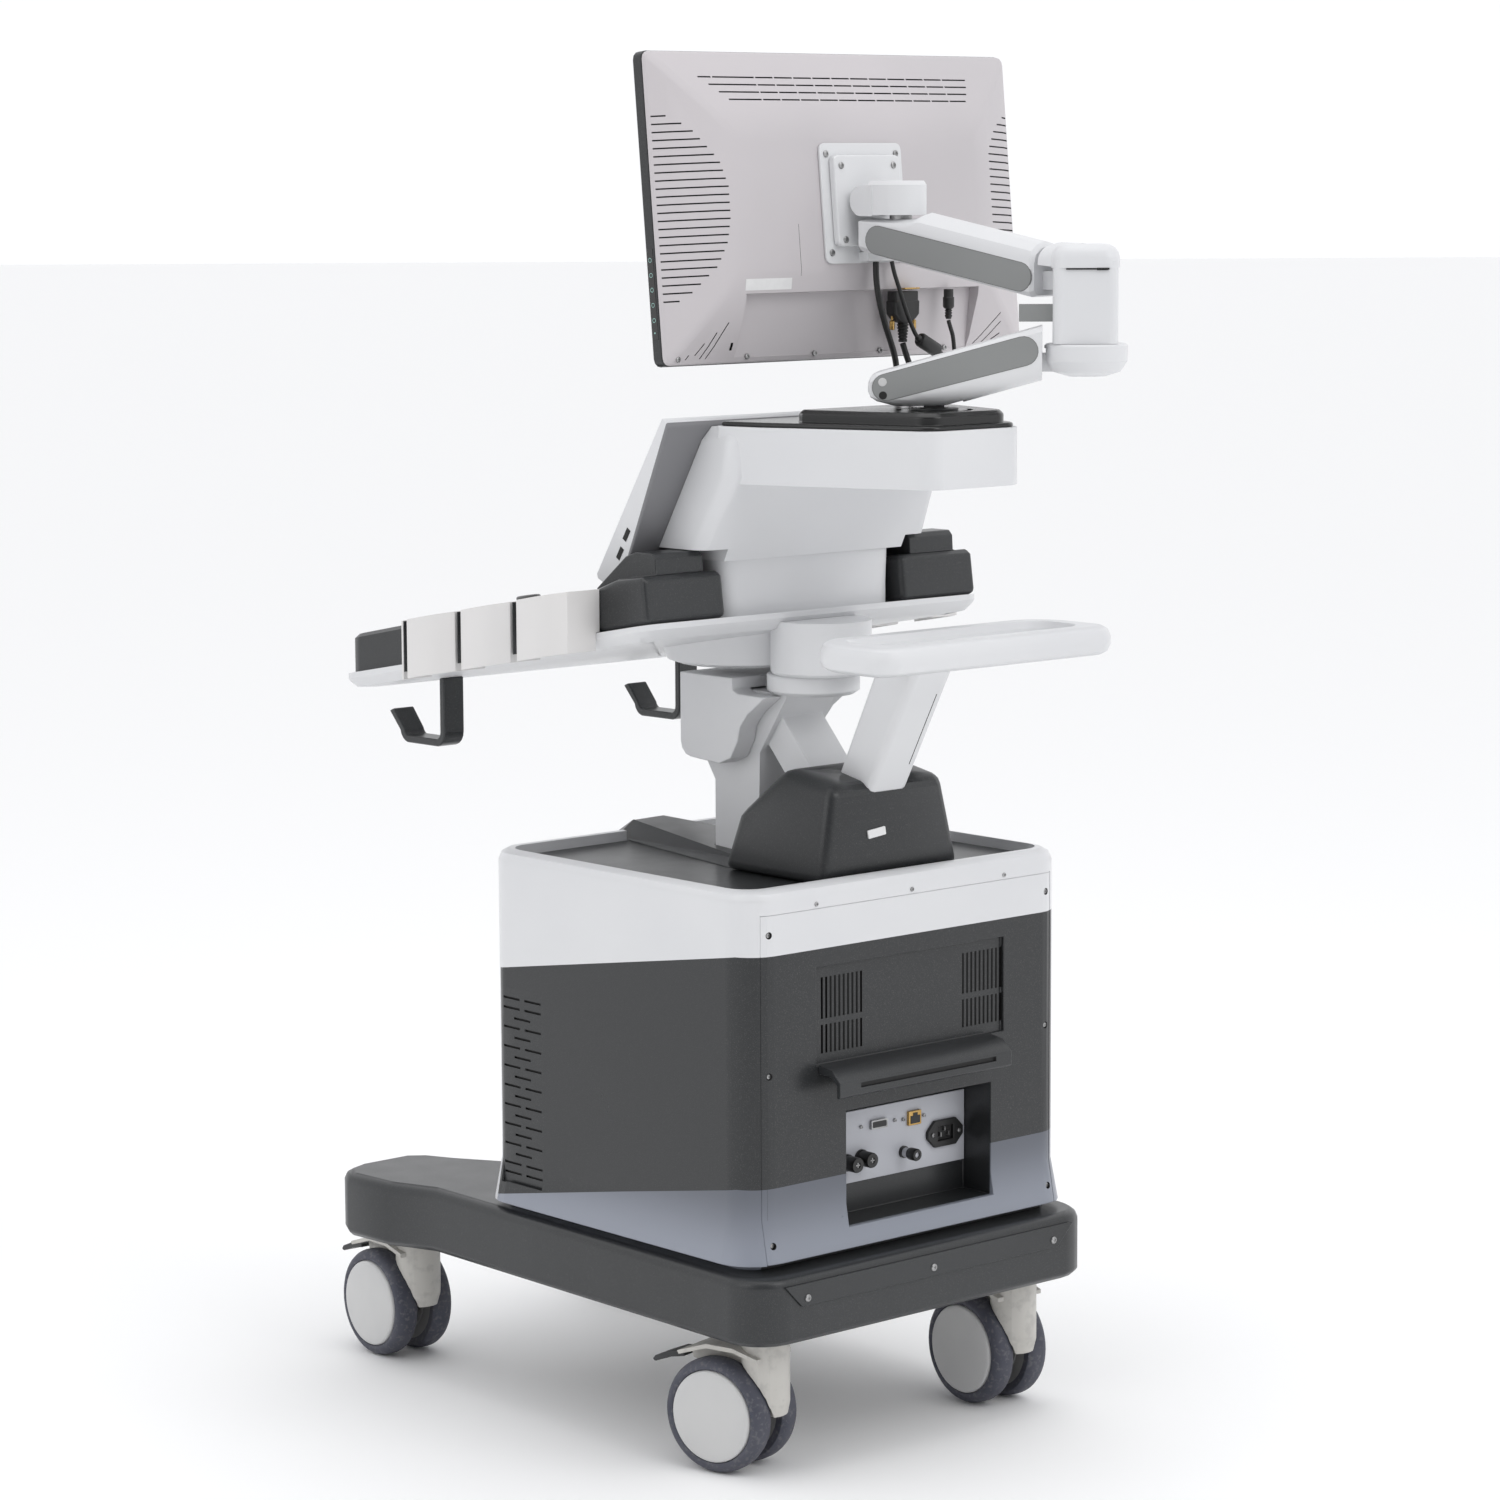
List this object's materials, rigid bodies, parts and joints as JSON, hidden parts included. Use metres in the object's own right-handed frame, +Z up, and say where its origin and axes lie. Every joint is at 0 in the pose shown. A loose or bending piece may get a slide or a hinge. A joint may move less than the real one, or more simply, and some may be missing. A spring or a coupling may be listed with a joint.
{
  "type": "ultrasound machine",
  "caption": "Wheeled ultrasound machine: cabinet on a caster base, column, swivelling console with touch display and probe cups, and a monitor on a folding arm.",
  "frame": {"origin": "centre of the whole outline on the floor, under the casters", "axes": "+X to the operator's right, +Y to the rear, +Z up"},
  "size_m": [0.6088, 0.9121, 1.4129],
  "materials": {
    "white_plastic": "satin",
    "grey_plastic": "satin",
    "black_plastic": "satin, lightly speckled",
    "insert_grey": "satin",
    "caster_grey": "satin",
    "tyre_rubber": "matte",
    "bright_steel": "plain",
    "screen_glass": "gloss",
    "cable_rubber": "matte"
  },
  "bodies": {
    "cart": {"base_shell": "black_plastic", "base_frame": "bright_steel", "base_rear_cover": "black_plastic", "cabinet_shell": "white_plastic", "rear_cover": "black_plastic", "deck_plate": "black_plastic", "port_panel": "bright_steel", "mains_inlet": "black_plastic", "pull_grip": "black_plastic", "electronics_chassis": "bright_steel", "power_supply": "bright_steel", "tower_housing": "black_plastic", "deck_ramp": "black_plastic", "handle_post": "white_plastic", "push_handle": "white_plastic", "column": "white_plastic", "column_shroud": "white_plastic"},
    "console": {"console_tray": "white_plastic", "control_panel": "black_plastic", "side_cover_right": "black_plastic", "side_cover_left": "black_plastic", "probe_holder_right": "white_plastic", "probe_holder_left": "white_plastic", "lead_hook_right": "black_plastic", "lead_hook_left": "black_plastic", "touch_shell": "white_plastic", "touch_glass": "screen_glass", "rear_housing": "white_plastic", "shelf_plate": "black_plastic"},
    "trackball": {"trackball": "bright_steel"},
    "gain_knob": {"gain_knob": "insert_grey"},
    "freeze_key": {"freeze_key": "insert_grey"},
    "arm_base": {"arm_bracket": "black_plastic"},
    "lower_arm": {"lower_arm": "white_plastic"},
    "elbow_foot": {"elbow_foot": "white_plastic"},
    "elbow_block": {"elbow_block": "white_plastic"},
    "upper_arm": {"upper_arm": "white_plastic"},
    "head_carrier": {"head_pin": "bright_steel"},
    "swivel_head": {"swivel_head": "white_plastic"},
    "monitor": {"tilt_plate": "white_plastic", "mount_plate": "white_plastic", "monitor_back": "grey_plastic", "monitor_bezel": "black_plastic", "monitor_screen": "screen_glass", "signal_lead": "cable_rubber", "power_lead": "cable_rubber", "video_plug": "black_plastic", "power_plug": "black_plastic"},
    "caster_rear_right": {"caster_fork_rear_right": "caster_grey"},
    "wheels_rear_right": {"caster_wheels_rear_right": "tyre_rubber"},
    "pedal_rear_right": {"brake_pedal_rear_right": "black_plastic"},
    "caster_rear_left": {"caster_fork_rear_left": "caster_grey"},
    "wheels_rear_left": {"caster_wheels_rear_left": "tyre_rubber"},
    "pedal_rear_left": {"brake_pedal_rear_left": "black_plastic"},
    "caster_front_right": {"caster_fork_front_right": "caster_grey"},
    "wheels_front_right": {"caster_wheels_front_right": "tyre_rubber"},
    "pedal_front_right": {"brake_pedal_front_right": "black_plastic"},
    "caster_front_left": {"caster_fork_front_left": "caster_grey"},
    "wheels_front_left": {"caster_wheels_front_left": "tyre_rubber"},
    "pedal_front_left": {"brake_pedal_front_left": "black_plastic"}
  },
  "joints": [
    {"name": "swivel_rear_right", "type": "hinge", "parent": "cart", "child": "caster_rear_right", "pos_m": [0.196, 0.242, 0.125], "axis": [0, 0, 1], "continuous": true},
    {"name": "roll_rear_right", "type": "hinge", "parent": "caster_rear_right", "child": "wheels_rear_right", "pos_m": [0.20595, 0.20119, 0.059], "axis": [0.9715, 0.2368, 0], "continuous": true},
    {"name": "brake_rear_right", "type": "hinge", "parent": "caster_rear_right", "child": "pedal_rear_right", "pos_m": [0.21305, 0.17205, 0.113], "axis": [0.9715, 0.2368, 0], "range_deg": [0, 8]},
    {"name": "swivel_rear_left", "type": "hinge", "parent": "cart", "child": "caster_rear_left", "pos_m": [-0.152, 0.242, 0.125], "axis": [0, 0, 1], "continuous": true},
    {"name": "roll_rear_left", "type": "hinge", "parent": "caster_rear_left", "child": "wheels_rear_left", "pos_m": [-0.15456, 0.20008, 0.059], "axis": [0.9981, -0.061, 0], "continuous": true},
    {"name": "brake_rear_left", "type": "hinge", "parent": "caster_rear_left", "child": "pedal_rear_left", "pos_m": [-0.1564, 0.17013, 0.113], "axis": [0.9981, -0.061, 0], "range_deg": [0, 8]},
    {"name": "swivel_front_right", "type": "hinge", "parent": "cart", "child": "caster_front_right", "pos_m": [0.198, -0.332, 0.125], "axis": [0, 0, 1], "continuous": true},
    {"name": "roll_front_right", "type": "hinge", "parent": "caster_front_right", "child": "wheels_front_right", "pos_m": [0.19609, -0.37396, 0.059], "axis": [0.999, -0.0454, 0], "continuous": true},
    {"name": "brake_front_right", "type": "hinge", "parent": "caster_front_right", "child": "pedal_front_right", "pos_m": [0.19473, -0.40393, 0.113], "axis": [0.999, -0.0454, 0], "range_deg": [0, 8]},
    {"name": "swivel_front_left", "type": "hinge", "parent": "cart", "child": "caster_front_left", "pos_m": [-0.154, -0.332, 0.125], "axis": [0, 0, 1], "continuous": true},
    {"name": "roll_front_left", "type": "hinge", "parent": "caster_front_left", "child": "wheels_front_left", "pos_m": [-0.15107, -0.3739, 0.059], "axis": [0.9976, 0.0698, 0], "continuous": true},
    {"name": "brake_front_left", "type": "hinge", "parent": "caster_front_left", "child": "pedal_front_left", "pos_m": [-0.14898, -0.40382, 0.113], "axis": [0.9976, 0.0698, 0], "range_deg": [0, 8]},
    {"name": "console_swivel", "type": "hinge", "parent": "cart", "child": "console", "pos_m": [0.022, 0.124, 0.7845], "axis": [0, 0, 1], "range_deg": [-30, 30]},
    {"name": "trackball_roll", "type": "hinge", "parent": "console", "child": "trackball", "pos_m": [0.022, -0.241, 0.81984], "axis": [1, 0, 0], "continuous": true},
    {"name": "gain_turn", "type": "hinge", "parent": "console", "child": "gain_knob", "pos_m": [0.142, -0.191, 0.83544], "axis": [0, -0.1886, 0.9821], "continuous": true},
    {"name": "freeze_press", "type": "slide", "parent": "console", "child": "freeze_key", "axis": [0, 0.1886, -0.9821], "range_m": [0, 0.003], "stiffness_N_per_m": 150, "springref_m": -0.001},
    {"name": "arm_yaw", "type": "hinge", "parent": "console", "child": "arm_base", "pos_m": [0.022, 0.303, 1.0603], "axis": [0, 0, 1], "range_deg": [-40, 40]},
    {"name": "lower_arm_pitch", "type": "hinge", "parent": "arm_base", "child": "lower_arm", "pos_m": [0.022, 0.303, 1.0875], "axis": [0.7104, 0.7037, 0], "range_deg": [-2, 4]},
    {"name": "elbow_foot_level", "type": "hinge", "parent": "lower_arm", "child": "elbow_foot", "pos_m": [-0.083, 0.409, 1.1065], "axis": [0.7104, 0.7037, 0], "range_deg": [-4, 2]},
    {"name": "elbow_yaw", "type": "hinge", "parent": "elbow_foot", "child": "elbow_block", "pos_m": [-0.083, 0.409, 1.125], "axis": [0, 0, 1], "range_deg": [-60, 20]},
    {"name": "upper_arm_pitch", "type": "hinge", "parent": "elbow_block", "child": "upper_arm", "pos_m": [-0.083, 0.409, 1.186], "axis": [-0.9884, -0.1517, 0], "range_deg": [-2, 3.5]},
    {"name": "head_level", "type": "hinge", "parent": "upper_arm", "child": "head_carrier", "pos_m": [-0.048, 0.181, 1.226], "axis": [-0.9884, -0.1517, 0], "range_deg": [-3.5, 2]},
    {"name": "head_yaw", "type": "hinge", "parent": "head_carrier", "child": "swivel_head", "pos_m": [-0.048, 0.181, 1.2495], "axis": [0, 0, 1], "range_deg": [-8, 14]},
    {"name": "monitor_tilt", "type": "hinge", "parent": "swivel_head", "child": "monitor", "pos_m": [-0.04904, 0.15285, 1.26377], "axis": [0.9994, 0.0349, 0], "range_deg": [-15, 3]}
  ],
  "couplings": [
    {"joint": "elbow_foot_level", "follows": "lower_arm_pitch", "ratio": -1},
    {"joint": "head_level", "follows": "upper_arm_pitch", "ratio": -1}
  ]
}
